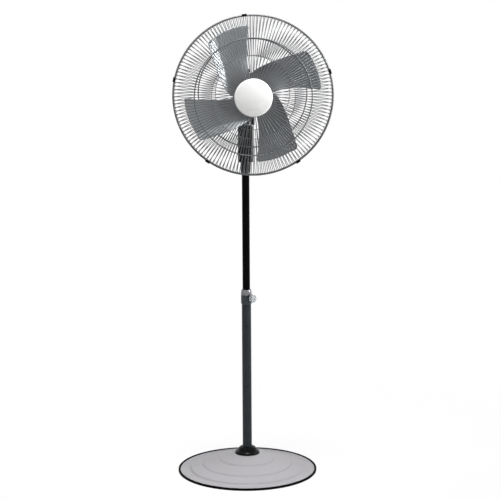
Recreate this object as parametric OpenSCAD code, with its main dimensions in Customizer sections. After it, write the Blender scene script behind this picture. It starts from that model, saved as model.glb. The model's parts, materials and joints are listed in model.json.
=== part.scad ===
/* [Base] */
// Diameter of the base over its rubber trim, mm
base_d = 475; // [440:5:500]
// Height of the flat seat in the middle of the base, mm
base_h = 60; // [58:1:66]
// Thickness of the pressed base sheet, mm
sheet_t = 1.6; // [1.2:0.1:2]
// Diameter of the bell collar round the foot of the pole, mm
bell_d = 85; // [84:0.5:92]
// Height of the bell collar, mm
bell_h = 25; // [25:1:34]

/* [Pole] */
// Outer diameter of the lower tube, mm
lower_d = 31.8; // [31.4:0.1:32.2]
// Height of the lower tube's top edge above the floor, mm
lower_top = 596; // [560:2:640]
// Outer diameter of the sliding upper tube, mm
upper_d = 25.4; // [25:0.1:25.8]
// Length of upper tube that shows above the clamp collar, mm
upper_show = 399; // [360:1:420]
// Diameter of the clamp collar, mm
collar_d = 36.8; // [36.4:0.2:40]
// Diameter of the height knob, mm
height_knob_d = 26; // [22:1:30]

/* [Control box] */
// Width of the box across the pole, mm
box_w = 50; // [50:1:60]
// Depth of the box from front to back, mm
box_dep = 54; // [54:1:64]
// Height of the box, mm
box_h = 118; // [116:1:140]
// Wall thickness of the box and the gear case, mm
wall = 2.5; // [2.2:0.1:2.8]
// Diameter of the speed knob, mm
speed_knob_d = 32; // [26:1:36]

/* [Motor head] */
// Radius of the motor shells, mm
motor_r = 48; // [47:0.5:50]
// Distance of the motor shaft to the right of the pole axis, mm
motor_x = 24; // [22:0.5:26]
// Diameter of the motor shaft, mm
shaft_d = 8; // [7.6:0.1:8]
// Diameter of the swivel pivot, mm
pivot_d = 12; // [10:0.5:13]

/* [Guard] */
// Outer diameter of the guard over its rim rings, mm
guard_d = 525; // [515:1:535]
// Number of radial wires in each half of the guard, every second one ends at the inner ring
wires = 136; // [96:4:144]
// Thickness of the radial wires, mm
wire_d = 2.6; // [2.2:0.1:3]
// Diameter of the front cap, mm
cap_d = 123; // [120:1:130]

/* [Rotor] */
// Diameter over the blade tips, mm
rotor_d = 449; // [430:1:455]
// Thickness of the blade sheet, mm
blade_t = 1.5; // [1.2:0.1:1.8]
// Depth of the blade's front edge ahead of the rotor plane, mm
blade_rise = 26; // [20:1:27]
// Depth of the blade's rear edge behind the rotor plane, mm
blade_fall = 28; // [20:1:29]

/* [Hidden] */
$fn = 64;

// shared fits: slip for parts that are fixed in a hole, run for parts that turn or slide
slip = 0.05;
run = 0.06;
gap = 0.3;
eps = 0.01;
bolt_r = 4;
m5_r = 2.5;
m4_r = 2;
m3_r = 1.5;

// base
base_r = base_d / 2;
trim_w = 7;
trim_h = 7.5;
trim_lip = 2.5;
rim_z = 4.8;
seat_r = 48;
step_share = [0.4, 0.638, 0.825];
step_mid_share = [0.7, 0.392, 0.183];
riser_w = 2;
riser_h = 2.5;
flange_t = 4;
flange_r = 33;
bolt_pcd_r = 24;
bolt_count = 4;
bolt_head_z = base_h - 19;
bolt_head_h = 3.5;
nut_r = 4.7;
nut_h = 4.5;
weight_inset = [85, 115];
weight_r = [78, 40];
weight_h = [8, 18, 30];

// pole
lower_r = lower_d / 2;
lower_wall = 1.5;
lower_in = lower_r - lower_wall;
upper_r = upper_d / 2;
upper_wall = 1.2;
upper_in = upper_r - upper_wall;
bush_len = 60;
bush_lip = 3;
collar_r = collar_d / 2;
collar_z = lower_top - 12;
collar_h = 33;
collar_bore = upper_r + 0.6;
ferrule_z = collar_z + collar_h;
ferrule_h = 18;
knob_dir = -47;
knob_z = lower_top + 11;
knob_r0 = collar_r + 7.6;
knob_h = 12;
boss_end = collar_r + 5.6;

// neck and control box
socket_z = ferrule_z + ferrule_h + upper_show;
socket_r = 16.8;
socket_len = 38;
tube_stop = 34;
box_z = socket_z + socket_len;
box_top = box_z + box_h;
box_corner = 8;
cover_t = 2.5;
cover_y = box_dep / 2 - cover_t;
dial_z = box_top - 40;
gland_z = box_z + 22;
gland_r = 3.6;
post_x = box_w / 2 - 6;
post_z = [box_z + 15, box_top - 8];
post_r = 3.5;
socket_flange_t = 3;
socket_flange_r = box_w / 2 - wall - 0.5;
socket_screw_r = socket_flange_r - 3;
spindle_r = 3;

// tilt joint
fork_t = 5;
ear_t = 6.1;
ear_r = 11;
tongue_w = 8.6;
tilt_z = box_top + 17.5;
fork_screw_at = [11, 16];
tilt_knob_x = 17;
tilt_knob_w = 14;
tongue_r = 10.5;

// swivel joint and linkage
pivot_r = pivot_d / 2;
boss_top = tilt_z + 34.5;
boss_h = 22;
boss_r = 13;
pivot_sink = 18;
anchor_r = 22;
anchor_a = 195.78;
lug_t = 7;
lug_z = boss_top - 8;
pin_r = 2.5;
link_z = boss_top + 2.8;
link_t = 3;
link_len = 72.96;
link_a = 271.01;
link_w = 8;
link_slack = 1.9;

// motor
motor_rise = 63;
motor_z = boss_top + motor_rise;
shell_t = 2.5;
shaft_r = shaft_d / 2;
front_f = 38;
split_f = -2;
rear_f = -44;
nose_r = 14;
nose_f = 52;
bush_r = 8;
bush_l = 16;
core_f = [-14, 16];
core_r = motor_r - shell_t;
bore_r = 23.3;
core_slots = 16;
lug_angles = [-20, 60, 120, 200];
lug_ring = motor_r + 4.6;
lug_r = 5.6;
saddle_x = [-15, 50];
saddle_y = [-14, 26];
saddle_z = [boss_top + 10, boss_top + 36];

// gear case, crank and clutch
case_y = [-rear_f, 44 - rear_f];
case_wall = 3;
low_x = [-33, 36];
low_z = [motor_z - 49, motor_z - 25];
high_x = [-2, 44];
high_z = [motor_z - 25, motor_z + 33];
case_floor = 4;
case_lid = 3;
post_at = [[low_x[0] + 5.5, low_z[1] - 5.6], [low_x[1] - 5.5, low_z[1] - 5.6],
           [high_x[0] + 5.5, high_z[1] - 5.6], [high_x[1] - 5.5, high_z[1] - 5.6]];
case_screw_at = [[37, motor_z - 17], [5.5, motor_z + 13]];
worm_r = 3.3;
worm_off = 1.1;
worm_pitch = 3.1416;
worm_len = 22;
wheel_teeth = 16;
wheel_gap = 3.6;
clutch_x = motor_x - wheel_gap - wheel_teeth / 2;
clutch_y = 64;
clutch_r = 4;
clutch_z = [low_z[0] + 3, high_z[1] + 3];
wheel_t = 4;
gear_m = 0.8;
pinion_teeth = 10;
crank_teeth = 45;
crank_a = 170;
gear_dist = gear_m * (pinion_teeth + crank_teeth) / 2;
crank_x = clutch_x + gear_dist * cos(crank_a);
crank_y = clutch_y + gear_dist * sin(crank_a);
crank_throw = 14.1;
crank_pin_a = 182.39;
crank_gear_z = low_z[0] + 7;
crank_gear_t = 6;
crank_disc_r = 18;
crank_disc_z = [low_z[0] - 5.5, low_z[0] - 1.5];
clutch_pin_r = 2;
clutch_pin_len = 31;
clutch_stroke = 6;

// guard: a wire's path is [straight lead, bend radius, bend angle, radius where it ends]
rim_d = 6;
rim_off = rim_d / 2 + 0.15;
mid_d = 4;
in_d = 2.2;
weld = 0.4;
wire_r0 = guard_d / 2 - rim_d - wire_d / 2 + weld;
front_path = [1, 26, 66, 50];
rear_path = [22, 45, 76, 60];
front_rings = [190, 135];
rear_rings = [178.6, 122];
bend_steps = 3;
plate_t = 1.5;
stand_off = 5;
rear_plate_r = 66;
rear_hole_r = 28;
front_plate_r = 56;
guard_screw_r = 38;
rear_plate_f = front_f + stand_off;
guard_f = rear_plate_f + plate_t + wire_d / 2 - weld + path_top(rear_path);
clip_at = [96, 17, -56, -125, 168];
clip_w = 16;
clip_half = 8;
clip_t = 2.1;
cap_r = cap_d / 2;
cap_z = path_top(front_path) + wire_d / 2 + 0.2;
cap_crown = 13.5;
cap_t = 2;
cap_screw_r = 30;

// rotor
rotor_f = guard_f - 25;
tip_r = rotor_d / 2;
blades = 4;
hub_r = 12;
hub_front = 7.5;
hub_back = 28;
spider_r = 58;
spider_t = 3;
root_r = 46;
tail_limit = 92;
flat_r = 60;
full_r = 140;
fold_rise = 3;
camber = 3;
corner_lead = 10;
corner_tail = 9;
rivet_r = 2.5;
rivet_ring = 52;
rivet_at = [25, 50, 75];
web_cols = 5;
flap_cols = 2;
blade_rows = concat(
  [root_r, 53, flat_r, 72, 86, 102, 120, full_r, 165, 190],
  [for (share = [1, 0.7, 0.3, 0.08, 0]) tip_r - corner_tail * share]);

// ---------- helpers ----------
function bend_in(path) = wire_r0 - path[1] * (1 - cos(path[2]));
function bend_up(path) = path[0] + path[1] * sin(path[2]);
function dome_r(path) = (bend_in(path) - path[3]) / cos(path[2]);
function path_top(path) = bend_up(path) + dome_r(path) * (1 - sin(path[2]));
function dome_angle(path, r) = acos((r - path[3]) / dome_r(path));
function dome_height(path, r) = path_top(path) - dome_r(path) * (1 - sin(dome_angle(path, r)));

// point on a wire at direction angle a, moved out by side
function wire_point(path, a, side) =
  a < path[2]
    ? [wire_r0 - path[1] + (path[1] + side) * cos(a), path[0] + (path[1] + side) * sin(a)]
    : [path[3] + (dome_r(path) + side) * cos(a),
       path_top(path) - dome_r(path) + (dome_r(path) + side) * sin(a)];

function mix(a, b, t) = a + (b - a) * t;
function smooth(t) = let (u = min(max(t, 0), 1)) u * u * (3 - 2 * u);

module pillar(r, z0, z1) {
  translate([0, 0, z0]) cylinder(r = r, h = z1 - z0);
}

module pipe(r, bore, z0, z1) {
  difference() {
    pillar(r, z0, z1);
    pillar(bore, z0 - 1, z1 + 1);
  }
}

module block(x, y, z) {
  translate([x[0], y[0], z[0]]) cube([x[1] - x[0], y[1] - y[0], z[1] - z[0]]);
}

module around(count, radius, start = 0) {
  for (i = [0 : count - 1])
    rotate([0, 0, start + 360 * i / count])
      translate([radius, 0, 0])
        children();
}

module hex(r, z0, z1) {
  translate([0, 0, z0]) cylinder(r = r, h = z1 - z0, $fn = 6);
}

// stands the local Z axis along the motor shaft, pointing to the front
module on_motor() {
  translate([motor_x, 0, motor_z]) rotate([90, 0, 0]) children();
}

module on_guard() {
  on_motor() translate([0, 0, guard_f]) children();
}

module on_rotor() {
  on_motor() translate([0, 0, rotor_f]) children();
}

// stands the local Z axis along +Y from a point on the rear of the head or the box
module to_rear(x, z) {
  translate([x, 0, z]) rotate([-90, 0, 0]) children();
}

// stands the local Z axis along the height knob's screw
module on_knob_axis() {
  translate([0, 0, knob_z]) rotate([0, 90, knob_dir]) children();
}

module screw(r, head_r, head_h, len) {
  cylinder(r = r, h = len);
  translate([0, 0, -head_h]) cylinder(r = head_r, h = head_h);
}

module gear(teeth, root, pitch, tip, pitch_w, tip_w, t) {
  linear_extrude(height = t)
    union() {
      circle(r = root);
      for (i = [0 : teeth - 1])
        rotate(360 * i / teeth)
          polygon([[root - 0.5, -pitch_w * 0.65], [pitch, -pitch_w / 2], [tip, -tip_w / 2],
                   [tip, tip_w / 2], [pitch, pitch_w / 2], [root - 0.5, pitch_w * 0.65]]);
    }
}

// ---------- base ----------
function cover_line(drop) = [
  [seat_r, base_h - drop],
  for (i = [0 : len(step_share) - 1])
    for (side = [-1, 1])
      [step_share[i] * base_r + side * riser_w, step_mid_share[i] * base_h - side * riser_h - drop],
  [base_r - trim_w, rim_z - drop],
  [base_r - trim_lip, rim_z - drop]
];

module base_cover() {
  under = cover_line(sheet_t);
  color("silver")
    difference() {
      rotate_extrude($fn = 128)
        polygon(concat([[0, base_h]], cover_line(0),
                       [for (i = [len(under) - 1 : -1 : 0]) under[i]], [[0, base_h - sheet_t]]));
      around(bolt_count, bolt_pcd_r) pillar(m5_r + slip, base_h - sheet_t - 1, base_h + 1);
    }
}

module base_weight() {
  foot = 3;
  tiers = [[base_r - weight_inset[0], weight_h[0]], [base_r - weight_inset[1], weight_h[1]],
           [weight_r[0], weight_h[2]], [weight_r[1], base_h - sheet_t]];
  color("dimgray")
    difference() {
      for (tier = tiers) pillar(tier[0], foot, tier[1]);
      pillar(flange_r, foot - 1, bolt_head_z + bolt_head_h);
      around(bolt_count, bolt_pcd_r) pillar(m5_r + 0.5, foot, base_h);
    }
}

module base_trim() {
  r0 = base_r - trim_w;
  edge = 1.2;
  color("black")
    rotate_extrude($fn = 128)
      polygon([[r0, 0], [base_r - edge, 0], [base_r, edge], [base_r, trim_h - edge],
               [base_r - edge, trim_h], [r0 + edge, trim_h], [r0, trim_h - edge], [r0, rim_z],
               [base_r - trim_lip, rim_z], [base_r - trim_lip, rim_z - sheet_t], [r0, rim_z - sheet_t]]);
}

module base_bolts() {
  color("lightgray")
    around(bolt_count, bolt_pcd_r) {
      hex(nut_r, bolt_head_z, bolt_head_z + bolt_head_h);
      pillar(m5_r, bolt_head_z + bolt_head_h - eps, base_h + flange_t + nut_h + 2);
    }
}

module base_nuts() {
  z0 = base_h + flange_t;
  color("lightgray")
    around(bolt_count, bolt_pcd_r)
      difference() {
        hex(nut_r, z0, z0 + nut_h);
        pillar(m5_r, z0 - 1, z0 + nut_h + 1);
      }
}

module pole_flange() {
  sleeve_h = 18;
  sleeve_t = 3;
  color("gray")
    difference() {
      union() {
        pillar(flange_r, base_h, base_h + flange_t);
        pillar(lower_r + slip + sleeve_t, base_h, base_h + sleeve_h);
      }
      pillar(lower_r + slip, base_h - 1, base_h + sleeve_h + 1);
      around(bolt_count, bolt_pcd_r) pillar(m5_r + slip, base_h - 1, base_h + flange_t + 1);
    }
}

module base_collar() {
  r = bell_d / 2;
  top_r = lower_r + 3.6;
  shell = 2.5;
  foot = 2;
  step_h = 11;
  step_r = (r + top_r) / 2 + 3;
  groove = 1.5;
  turns = 8;
  // lower bulge and upper cone of the bell, moved in by t
  function bulge(i, t) = let (a = 90 * i / turns)
    [step_r - t + (r - step_r) * cos(a), foot + (step_h - foot - t) * sin(a)];
  function cone(i, t) = let (a = 90 * i / turns)
    [top_r - t + (step_r - groove - top_r) * pow(cos(a), 1.4), step_h - t + (bell_h - step_h) * sin(a)];
  color("black")
    translate([0, 0, base_h])
      rotate_extrude($fn = 96)
        polygon(concat(
          [[r - shell, 0], [r, 0]],
          [for (i = [0 : turns]) bulge(i, 0)],
          [for (i = [0 : turns]) cone(i, 0)],
          [[lower_r + gap, bell_h], [lower_r + gap, bell_h - shell]],
          [for (i = [turns : -1 : 0]) cone(i, shell)],
          [for (i = [turns : -1 : 0]) bulge(i, shell)]));
}

// ---------- pole ----------
module lower_tube() {
  color("dimgray") pipe(lower_r, lower_in, base_h, lower_top);
}

module tube_bush() {
  color("white")
    difference() {
      union() {
        pillar(lower_in - slip, lower_top - bush_len, lower_top);
        pillar(lower_r, lower_top, lower_top + bush_lip);
      }
      pillar(upper_r + run, lower_top - bush_len - 1, lower_top + bush_lip + 1);
    }
}

module clamp_collar() {
  edge = 4;
  color("black")
    difference() {
      union() {
        translate([0, 0, collar_z]) cylinder(r1 = collar_r - 1.5, r2 = collar_r, h = edge);
        pillar(collar_r, collar_z + edge, ferrule_z);
        on_knob_axis() pillar(7, 0, boss_end);
      }
      pillar(lower_r + slip, collar_z - 1, lower_top + bush_lip);
      pillar(collar_bore, collar_z, ferrule_z + 1);
      on_knob_axis() pillar(bolt_r + slip, 0, boss_end + 1);
    }
}

module collar_ferrule() {
  turns = 10;
  top_r = collar_bore + 1;
  color("silver")
    rotate_extrude($fn = 96)
      polygon(concat(
        [[collar_bore, ferrule_z + ferrule_h], [collar_bore, ferrule_z]],
        [for (i = [0 : turns]) let (a = 90 * i / turns)
          [top_r + (collar_r - top_r) * cos(a), ferrule_z + ferrule_h * sin(a)]]));
}

module height_knob() {
  r = height_knob_d / 2;
  flutes = 12;
  edge = 1.5;
  color("lightgray")
    on_knob_axis()
      difference() {
        union() {
          pillar(r, knob_r0, knob_r0 + knob_h - edge);
          translate([0, 0, knob_r0 + knob_h - edge]) cylinder(r1 = r, r2 = r - edge, h = edge);
        }
        around(flutes, r + 0.6) pillar(1.4, knob_r0 - 1, knob_r0 + knob_h + 1);
        pillar(bolt_r, knob_r0 - 1, knob_r0 + knob_h - 3);
        pillar(2, knob_r0 + knob_h - 1, knob_r0 + knob_h + 1);
      }
}

module height_screw() {
  color("silver") on_knob_axis() pillar(bolt_r, upper_r + gap, knob_r0 + knob_h - 3);
}

module upper_tube() {
  color("black") pipe(upper_r, upper_in, lower_top - bush_len - 2, socket_z + tube_stop);
}

module tube_end_plug() {
  z0 = lower_top - bush_len - 2;
  color("dimgray") {
    pillar(lower_in - run, z0 - 8, z0);
    pillar(upper_in - slip, z0 - eps, z0 + 15);
  }
}

// ---------- neck and control box ----------
module socket_screws_at() {
  around(3, socket_screw_r, 30) children();
}

module neck_socket() {
  top = box_z + wall + socket_flange_t;
  color("black")
    difference() {
      union() {
        translate([0, 0, socket_z]) cylinder(r1 = socket_r - 1, r2 = socket_r, h = 3);
        pillar(socket_r, socket_z + 3, top);
        pillar(socket_flange_r, box_z + wall, top);
      }
      pillar(upper_r + slip, socket_z - 1, socket_z + tube_stop);
      pillar(upper_in - 1, socket_z, top + 1);
      socket_screws_at() pillar(m3_r, box_z, top + 1);
    }
}

module box_solid(inset) {
  r = box_corner - inset;
  w = box_w / 2 - inset;
  d = box_dep / 2 - inset;
  linear_extrude(height = box_h - 2 * inset)
    union() {
      square([2 * (w - r), 2 * d], center = true);
      square([2 * w, 2 * (d - r)], center = true);
      for (sx = [-1, 1], sy = [-1, 1]) translate([sx * (w - r), sy * (d - r)]) circle(r = r);
    }
}

module box_shell() {
  difference() {
    translate([0, 0, box_z]) box_solid(0);
    translate([0, 0, box_z + wall]) box_solid(wall);
  }
}

module post_sites() {
  for (sx = [-1, 1], z = post_z) to_rear(sx * post_x, z) children();
}

module box_body() {
  post_len = 15;
  color("black")
    difference() {
      union() {
        intersection() {
          box_shell();
          block([-box_w, box_w], [-box_dep, cover_y], [box_z - 1, box_top + 1]);
        }
        post_sites() pillar(post_r, cover_y - post_len, cover_y);
        for (sx = [-1, 1], z = post_z)
          block([sx * post_x - (sx < 0 ? 5 : 0), sx * post_x + (sx > 0 ? 5 : 0)],
                [cover_y - post_len, cover_y], [z - 1, z + 1]);
      }
      post_sites() pillar(m3_r, cover_y - post_len + 4, cover_y + 1);
      pillar(socket_r + slip, box_z - 1, box_z + wall + 1);
      socket_screws_at() pillar(m3_r, box_z - 1, box_z + wall + 1);
      fork_screws_at() pillar(m5_r, box_top - wall - 1, box_top + 1);
      block([-box_w, box_w], [cover_y, box_dep], [box_z, box_top]);
    }
}

module box_cover() {
  color("black")
    difference() {
      intersection() {
        translate([0, 0, box_z]) box_solid(0);
        block([-box_w, box_w], [cover_y, box_dep], [box_z - 1, box_top + 1]);
      }
      to_rear(0, dial_z) pillar(spindle_r + 2, cover_y - 1, cover_y + cover_t + 1);
      to_rear(0, gland_z) pillar(6 + slip, cover_y - 1, cover_y + cover_t + 1);
      post_sites() pillar(m3_r, cover_y - 1, cover_y + cover_t + 1);
    }
}

module box_screws() {
  head_r = 2.8;
  head_h = 1.8;
  len = 9.5;
  color("silver") {
    post_sites() translate([0, 0, box_dep / 2]) mirror([0, 0, 1]) screw(m3_r, head_r, head_h, len);
    socket_screws_at()
      translate([0, 0, box_z + wall + socket_flange_t]) mirror([0, 0, 1]) screw(m3_r, head_r, head_h, 5.5);
  }
}

module dial_plate() {
  r = speed_knob_d / 2 + 6;
  t = 0.8;
  color("silver") to_rear(0, dial_z) pipe(r, spindle_r + 2, box_dep / 2, box_dep / 2 + t);
}

module speed_switch() {
  size = [30, 22, 28];
  sink = 5;
  color("ivory")
    difference() {
      block([-size[0] / 2, size[0] / 2], [cover_y - size[1], cover_y],
            [dial_z - size[2] / 2, dial_z + size[2] / 2]);
      to_rear(0, dial_z) pillar(spindle_r + run, cover_y - sink, cover_y + 1);
    }
}

module run_capacitor() {
  size = [34, 16, 36];
  y0 = wall - box_dep / 2;
  z0 = box_z + 26;
  color("gainsboro") block([-size[0] / 2, size[0] / 2], [y0, y0 + size[1]], [z0, z0 + size[2]]);
}

module cord_gland() {
  y1 = box_dep / 2;
  color("black")
    to_rear(0, gland_z)
      difference() {
        union() {
          pillar(6, cover_y - 4, y1);
          pillar(9, cover_y - 3, cover_y);
          pillar(9, y1, y1 + 3);
          pillar(7, y1 + 3, y1 + 11);
        }
        pillar(gland_r, cover_y - 5, y1 + 12);
      }
}

module fork_screws_at() {
  for (sx = [-1, 1], sy = [-1, 1]) translate([sx * fork_screw_at[0], sy * fork_screw_at[1], 0]) children();
}

module neck_fork() {
  inner = tongue_w + gap;
  plate = [tilt_knob_x - 1, 22];
  color("black")
    difference() {
      union() {
        block([-plate[0], plate[0]], [-plate[1], plate[1]], [box_top, box_top + fork_t]);
        for (x = [-inner - ear_t, inner]) {
          block([x, x + ear_t], [-ear_r, ear_r], [box_top, tilt_z]);
          translate([x, 0, tilt_z]) rotate([0, 90, 0]) cylinder(r = ear_r, h = ear_t);
        }
      }
      translate([-box_w, 0, tilt_z]) rotate([0, 90, 0]) cylinder(r = bolt_r + run, h = 2 * box_w);
      fork_screws_at() pillar(m5_r, box_top - 1, box_top + fork_t + 1);
    }
}

module fork_screws() {
  head_h = 3;
  nut_h = 4;
  color("silver")
    fork_screws_at() {
      pillar(4.5, box_top + fork_t, box_top + fork_t + head_h);
      pillar(m5_r, box_top - wall - nut_h, box_top + fork_t + eps);
      hex(4.6, box_top - wall - nut_h, box_top - wall);
    }
}

module tilt_bolt() {
  x0 = tongue_w + gap + ear_t;
  color("silver")
    translate([0, 0, tilt_z]) rotate([0, 90, 0]) {
      hex(7.5, -x0 - 5.3, -x0);
      pillar(bolt_r, -x0 - eps, tilt_knob_x + tilt_knob_w - 3);
    }
}

// ---------- knobs ----------
module speed_knob() {
  r = speed_knob_d / 2;
  y0 = box_dep / 2 + 2;
  skirt = 7;
  bar = [8, speed_knob_d - 4];
  top = 16;
  color("black")
    to_rear(0, dial_z)
      difference() {
        union() {
          pillar(r, y0, y0 + skirt - 1);
          translate([0, 0, y0 + skirt - 1]) cylinder(r1 = r, r2 = r - 1, h = 1);
          block([-bar[0] / 2, bar[0] / 2], [-bar[1] / 2, bar[1] / 2], [y0, y0 + top]);
        }
        pillar(spindle_r, y0 - 1, y0 + top - 3);
        block([-0.6, 0.6], [-bar[1] / 2 - 1, -bar[1] / 4], [y0 + top - 1, y0 + top + 1]);
      }
}

module switch_shaft() {
  color("silver") to_rear(0, dial_z) pillar(spindle_r, cover_y - 4.5, box_dep / 2 + 15);
}

module tilt_knob() {
  lobes = 6;
  core = 10;
  lobe = 4;
  color("black")
    translate([0, 0, tilt_z]) rotate([0, 90, 0])
      difference() {
        union() {
          pillar(core, tilt_knob_x, tilt_knob_x + tilt_knob_w);
          around(lobes, core) pillar(lobe, tilt_knob_x, tilt_knob_x + tilt_knob_w);
        }
        pillar(bolt_r + run, tilt_knob_x - 1, tilt_knob_x + tilt_knob_w - 2.5);
      }
}

// ---------- tilting bracket ----------
module pivot_bracket() {
  lug_end = 5;
  pin_top = link_z + link_t + 1.7;
  color("dimgray")
    difference() {
      union() {
        translate([-tongue_w, 0, tilt_z]) rotate([0, 90, 0]) cylinder(r = tongue_r, h = 2 * tongue_w);
        block([-tongue_w, tongue_w], [-tongue_r, tongue_r], [tilt_z, boss_top - boss_h + 1]);
        pillar(boss_r, boss_top - boss_h, boss_top);
        rotate([0, 0, anchor_a]) {
          block([boss_r - 3, anchor_r], [-lug_end, lug_end], [lug_z, lug_z + lug_t]);
          translate([anchor_r, 0, 0]) pillar(lug_end, lug_z, lug_z + lug_t);
          translate([anchor_r, 0, 0]) pillar(pin_r, lug_z + 1, pin_top);
        }
      }
      translate([-box_w, 0, tilt_z]) rotate([0, 90, 0]) cylinder(r = bolt_r + run, h = 2 * box_w);
      pillar(pivot_r + slip, boss_top - pivot_sink, boss_top + 1);
    }
}

// ---------- swivelling head ----------
module pivot_shaft() {
  color("silver") pillar(pivot_r, boss_top - pivot_sink, boss_top + motor_rise - motor_r - 1.5);
}

module carrier_screws_at() {
  for (y = [-8, 20]) translate([motor_x, y, 0]) children();
}

module motor_carrier() {
  neck_r = pivot_r + 2;
  color("dimgray")
    difference() {
      union() {
        pillar(neck_r, boss_top + gap, saddle_z[0] + 1);
        block(saddle_x, saddle_y, saddle_z);
      }
      on_motor() pillar(motor_r + slip, -50, 50);
      pillar(pivot_r + slip, boss_top, boss_top + 20);
      carrier_screws_at() pillar(m5_r, saddle_z[0] - 1, saddle_z[0] + 12);
    }
}

module guard_screws_at() {
  around(4, guard_screw_r, 45) children();
}

module head_screws() {
  head_r = 4.3;
  head_h = 2.5;
  color("silver") {
    carrier_screws_at() translate([0, 0, saddle_z[0]]) screw(m5_r, head_r, head_h, 7.2);
    on_motor()
      guard_screws_at()
        translate([0, 0, rear_plate_f + plate_t]) mirror([0, 0, 1]) screw(m5_r, head_r, head_h, plate_t + 7);
    for (at = post_at)
      to_rear(at[0], at[1])
        translate([0, 0, case_y[1] + case_lid]) mirror([0, 0, 1]) screw(m3_r, 3.2, 2, 12);
    for (at = case_screw_at)
      to_rear(at[0], at[1])
        translate([0, 0, case_y[0] + case_wall]) mirror([0, 0, 1]) screw(m4_r, 3.6, 2.5, case_wall + 3);
  }
}

module shell_lugs(f0, f1) {
  for (a = lug_angles) rotate([0, 0, a]) translate([lug_ring, 0, 0]) pillar(lug_r, f0, f1);
}

module lug_holes() {
  for (a = lug_angles) rotate([0, 0, a]) translate([lug_ring, 0, 0]) pillar(m4_r, -20, 20);
}

module motor_front_shell() {
  end_t = 3;
  lug_len = 8;
  color("black")
    on_motor()
      difference() {
        union() {
          pillar(motor_r, split_f - 1, front_f - 3);
          translate([0, 0, front_f - 3]) cylinder(r1 = motor_r, r2 = motor_r - 3, h = 3);
          pillar(nose_r, front_f - 4, nose_f);
          shell_lugs(split_f - 1, split_f + lug_len);
          guard_screws_at() pillar(5, front_f - 4, rear_plate_f);
        }
        pillar(lug_ring + 2 * lug_r, split_f - 2, split_f);
        pillar(core_r, split_f - 2, front_f - end_t);
        pillar(bush_r, front_f - end_t - 1, nose_f - 2);
        pillar(shaft_r + 0.5, nose_f - 3, nose_f + 1);
        lug_holes();
        guard_screws_at() pillar(m5_r, front_f - end_t - 1, rear_plate_f + 1);
        carrier_holes();
      }
}

module carrier_holes() {
  for (f = [8, -20]) translate([0, -motor_r + 3, f]) rotate([90, 0, 0]) cylinder(r = m5_r, h = 6);
}

module motor_rear_shell() {
  end_t = 3;
  lug_len = 8;
  boss = 12;
  vents = 20;
  vent_ring = 38;
  vent_r = 2.5;
  color("black")
    on_motor()
      difference() {
        union() {
          pillar(motor_r, rear_f + 3, split_f + 1);
          translate([0, 0, rear_f]) cylinder(r1 = motor_r - 3, r2 = motor_r, h = 3);
          shell_lugs(split_f - lug_len, split_f + 1);
        }
        pillar(lug_ring + 2 * lug_r, split_f, split_f + 2);
        difference() {
          pillar(core_r, rear_f + end_t, split_f + 1);
          pillar(boss, rear_f, rear_f + 18);
        }
        pillar(bush_r, rear_f + 2, rear_f + 19);
        pillar(shaft_r + 0.5, rear_f - 1, rear_f + 3);
        lug_holes();
        carrier_holes();
        for (at = case_screw_at)
          translate([at[0] - motor_x, at[1] - motor_z, 0]) pillar(m4_r, rear_f - 1, rear_f + end_t + 1);
        around(vents, vent_ring) pillar(vent_r, rear_f - 1, rear_f + end_t + 1);
      }
}

module motor_screws() {
  color("silver")
    on_motor()
      for (a = lug_angles)
        rotate([0, 0, a])
          translate([lug_ring, 0, split_f + 8])
            mirror([0, 0, 1]) screw(m4_r, 3.6, 2.5, 16);
}

module stator_core() {
  slot = [25.5, 37];
  slot_w = 6;
  mouth = 2;
  color("gray")
    on_motor()
      difference() {
        pillar(core_r, core_f[0], core_f[1]);
        pillar(bore_r, core_f[0] - 1, core_f[1] + 1);
        around(core_slots, 0) {
          block(slot, [-slot_w / 2, slot_w / 2], [core_f[0] - 1, core_f[1] + 1]);
          block([bore_r - 1, slot[0] + 1], [-mouth / 2, mouth / 2], [core_f[0] - 1, core_f[1] + 1]);
        }
      }
}

module stator_windings() {
  bar = [27, 36.5];
  bar_w = 5.4;
  ends = 11;
  lift = 0.4;
  color("orangered")
    on_motor() {
      around(core_slots, 0) block(bar, [-bar_w / 2, bar_w / 2], [core_f[0] - 2, core_f[1] + 2]);
      pipe(40, 26, core_f[0] - ends, core_f[0] - lift);
      pipe(40, 26, core_f[1] + lift, core_f[1] + ends);
    }
}

module shaft_bushes() {
  color("goldenrod")
    on_motor()
      for (f0 = [rear_f + 2, nose_f - 2 - bush_l])
        pipe(bush_r, shaft_r + slip, f0, f0 + bush_l);
}

module case_blocks(y, inset) {
  block([low_x[0] + inset, low_x[1] - inset], y, [low_z[0] + (inset > 0 ? case_floor : 0), low_z[1] - inset]);
  block([high_x[0] + inset, high_x[1] - inset], y, [high_z[0], high_z[1] - inset]);
}

module gear_case() {
  color("black")
    difference() {
      union() {
        difference() {
          case_blocks(case_y, 0);
          case_blocks([case_y[0] + case_wall, case_y[1] + 1], case_wall);
        }
        for (at = post_at) to_rear(at[0], at[1]) pillar(3, case_y[0] + 1, case_y[1]);
      }
      for (at = post_at) to_rear(at[0], at[1]) pillar(m3_r, case_y[1] - 12, case_y[1] + 1);
      for (at = case_screw_at) to_rear(at[0], at[1]) pillar(m4_r, case_y[0] - 1, case_y[0] + case_wall + 1);
      to_rear(motor_x, motor_z) pillar(shaft_r + 1.5, case_y[0] - 1, case_y[0] + case_wall + 1);
      translate([clutch_x, clutch_y, 0]) {
        pillar(clutch_r + run, clutch_z[0] - gap, low_z[0] + case_floor + 1);
        pillar(clutch_r + 0.4, low_z[1] - case_wall - 1, high_z[0] + 1);
        pillar(clutch_r + run, high_z[1] - case_wall - 1, high_z[1] + 1);
      }
      translate([crank_x, crank_y, 0]) pillar(clutch_r + run, low_z[0] - 1, low_z[0] + case_floor + 1);
    }
}

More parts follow.
